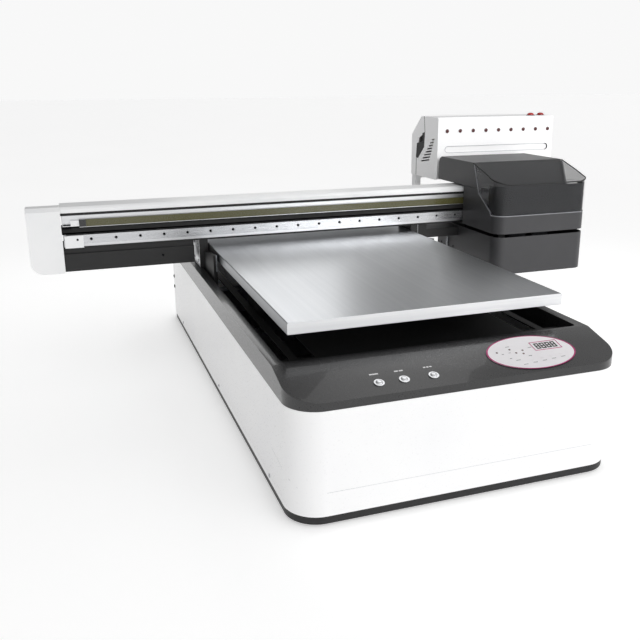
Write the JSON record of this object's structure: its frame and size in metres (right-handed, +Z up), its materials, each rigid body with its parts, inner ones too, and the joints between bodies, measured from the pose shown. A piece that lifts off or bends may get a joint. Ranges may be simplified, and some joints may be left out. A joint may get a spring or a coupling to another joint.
{
  "type": "flatbed uv printer",
  "caption": "Flatbed UV printer: white cabinet with a black sloping lid, sliding aluminium bed, cross beam with a hooded print carriage and an ink box.",
  "frame": {"origin": "middle of the footprint on the floor", "axes": "+X to the machine's right along the beam, +Y from the control panel to the back, +Z up"},
  "size_m": [1.708, 1.47, 0.6875],
  "materials": {
    "white_enamel": "gloss powder coat, white",
    "black_gloss": "moulded black gloss cover",
    "black_paint": "satin black powder coat",
    "bed_aluminium": "brushed and clear anodised plate",
    "cast_aluminium": "milled and blasted aluminium",
    "ground_steel": "ground bearing steel",
    "dark_steel": "black oxide and dark paint",
    "frame_steel": "textured frame paint",
    "rubber": "black moulded rubber",
    "encoder_film": "olive encoder film",
    "smoked_clear": "smoked clear acrylic",
    "carriage_black": "gloss black carriage moulding",
    "membrane_white": "white printed membrane with a magenta edge",
    "red_plastic": "red moulded knob",
    "chrome_button": "polished metal push button",
    "tank_plastic": "natural polyethylene tank"
  },
  "bodies": {
    "machine_base": {"base_shell": "white_enamel", "base_pan": "black_paint", "lid_frame": "black_gloss", "deck_plate": "black_paint", "chassis_frame": "frame_steel", "foot_front_left": "rubber", "foot_front_right": "rubber", "foot_rear_left": "rubber", "foot_rear_right": "rubber", "membrane_panel": "membrane_white", "rear_panel": "black_paint", "mains_inlet": "rubber", "bed_rail_left": "ground_steel", "bed_rail_right": "ground_steel", "bed_screw_support": "cast_aluminium", "bed_motor": "dark_steel", "upright_left": "black_paint", "upright_right": "black_paint", "beam_extrusion": "cast_aluminium", "beam_top_plate": "white_enamel", "guide_rail": "ground_steel", "encoder_strip": "encoder_film", "encoder_clamp": "black_paint", "drive_belt": "rubber", "beam_motor": "dark_steel", "end_cover_left": "white_enamel", "end_cover_right": "white_enamel", "under_beam_cover": "black_paint", "cable_duct": "black_paint", "capping_tray": "carriage_black", "capping_hanger": "cast_aluminium", "ink_housing": "white_enamel", "ink_bracket": "white_enamel", "ink_tank_rack": "tank_plastic"},
    "bed_carriage": {"bed_carriage_plate": "cast_aluminium", "bed_bearing_left": "cast_aluminium", "bed_bearing_right": "cast_aluminium"},
    "bed_drive_screw": {"bed_screw": "ground_steel"},
    "print_bed": {"lift_frame": "black_paint", "bed_plate": "bed_aluminium"},
    "lift_screw_l": {"lift_screw_left": "ground_steel"},
    "lift_screw_r": {"lift_screw_right": "ground_steel"},
    "print_carriage": {"carriage_tray": "carriage_black", "carriage_rear_housing": "carriage_black", "carriage_bearing": "cast_aluminium", "carriage_back_plate": "bed_aluminium", "printhead_left": "dark_steel", "printhead_right": "dark_steel", "uv_lamp": "cast_aluminium"},
    "hood": {"smoked_hood": "smoked_clear"},
    "idle_pulley_body": {"idle_pulley": "cast_aluminium"},
    "drive_pulley_body": {"drive_pulley": "cast_aluminium"},
    "suction_key": {"suction_button": "chrome_button"},
    "lamp_key": {"lamp_button": "chrome_button"},
    "power_key": {"power_button": "chrome_button"},
    "stop_key_left": {"stop_button_left": "red_plastic"},
    "stop_key_right": {"stop_button_right": "red_plastic"},
    "switch_rocker": {"main_switch": "red_plastic"},
    "cap_lift_sled": {"cap_sled": "rubber"},
    "wiper_body": {"wiper": "rubber"}
  },
  "joints": [
    {"name": "bed_slide", "type": "slide", "parent": "machine_base", "child": "bed_carriage", "axis": [0, 1, 0], "range_m": [-0.26, 0.64]},
    {"name": "bed_screw_turn", "type": "hinge", "parent": "machine_base", "child": "bed_drive_screw", "pos_m": [-0.068, -0.035, 0.104], "axis": [0, 1, 0], "range_deg": [-4700, 11560]},
    {"name": "bed_lift", "type": "slide", "parent": "bed_carriage", "child": "print_bed", "axis": [0, 0, 1], "range_m": [-0.04, 0]},
    {"name": "lift_screw_left_turn", "type": "hinge", "parent": "bed_carriage", "child": "lift_screw_l", "pos_m": [-0.3285, -0.115, 0.19], "axis": [0, 0, 1], "range_deg": [-725, 5]},
    {"name": "lift_screw_right_turn", "type": "hinge", "parent": "bed_carriage", "child": "lift_screw_r", "pos_m": [0.1925, -0.115, 0.19], "axis": [0, 0, 1], "range_deg": [-725, 5]},
    {"name": "carriage_slide", "type": "slide", "parent": "machine_base", "child": "print_carriage", "axis": [1, 0, 0], "range_m": [-1.1, 0]},
    {"name": "idle_pulley_turn", "type": "hinge", "parent": "machine_base", "child": "idle_pulley_body", "pos_m": [-0.795, 0.233, 0.411], "axis": [0, 0, 1], "range_deg": [-5260, 10]},
    {"name": "drive_pulley_turn", "type": "hinge", "parent": "machine_base", "child": "drive_pulley_body", "pos_m": [0.803, 0.233, 0.411], "axis": [0, 0, 1], "range_deg": [-5260, 10]},
    {"name": "hood_flip", "type": "hinge", "parent": "print_carriage", "child": "hood", "pos_m": [0.573, 0.149, 0.5537], "axis": [-1, 0, 0], "range_deg": [0, 75]},
    {"name": "cap_lift", "type": "slide", "parent": "machine_base", "child": "cap_lift_sled", "axis": [0, 0, 1], "range_m": [0, 0.01]},
    {"name": "wiper_slide", "type": "slide", "parent": "machine_base", "child": "wiper_body", "axis": [0, 1, 0], "range_m": [0, 0.12]},
    {"name": "suction_press", "type": "slide", "parent": "machine_base", "child": "suction_key", "axis": [0, 0.2496, -0.9683], "range_m": [0, 0.0025], "stiffness_N_per_m": 400, "springref_m": -0.001},
    {"name": "lamp_press", "type": "slide", "parent": "machine_base", "child": "lamp_key", "axis": [0, 0.2496, -0.9683], "range_m": [0, 0.0025], "stiffness_N_per_m": 400, "springref_m": -0.001},
    {"name": "power_press", "type": "slide", "parent": "machine_base", "child": "power_key", "axis": [0, 0.2496, -0.9683], "range_m": [0, 0.0025], "stiffness_N_per_m": 400, "springref_m": -0.001},
    {"name": "stop_left_press", "type": "slide", "parent": "machine_base", "child": "stop_key_left", "axis": [0, 0, -1], "range_m": [0, 0.004], "stiffness_N_per_m": 600, "springref_m": -0.001},
    {"name": "stop_right_press", "type": "slide", "parent": "machine_base", "child": "stop_key_right", "axis": [0, 0, -1], "range_m": [0, 0.004], "stiffness_N_per_m": 600, "springref_m": -0.001},
    {"name": "main_switch_rock", "type": "hinge", "parent": "machine_base", "child": "switch_rocker", "pos_m": [-0.078, 0.73, 0.11], "axis": [1, 0, 0], "range_deg": [0, 13.75]}
  ],
  "couplings": [
    {"joint": "bed_screw_turn", "follows": "bed_slide", "rad_per_m": 314.16},
    {"joint": "lift_screw_left_turn", "follows": "bed_lift", "rad_per_m": 314.16},
    {"joint": "lift_screw_right_turn", "follows": "bed_lift", "rad_per_m": 314.16},
    {"joint": "idle_pulley_turn", "follows": "carriage_slide", "rad_per_m": 83.333},
    {"joint": "drive_pulley_turn", "follows": "carriage_slide", "rad_per_m": 83.333}
  ]
}
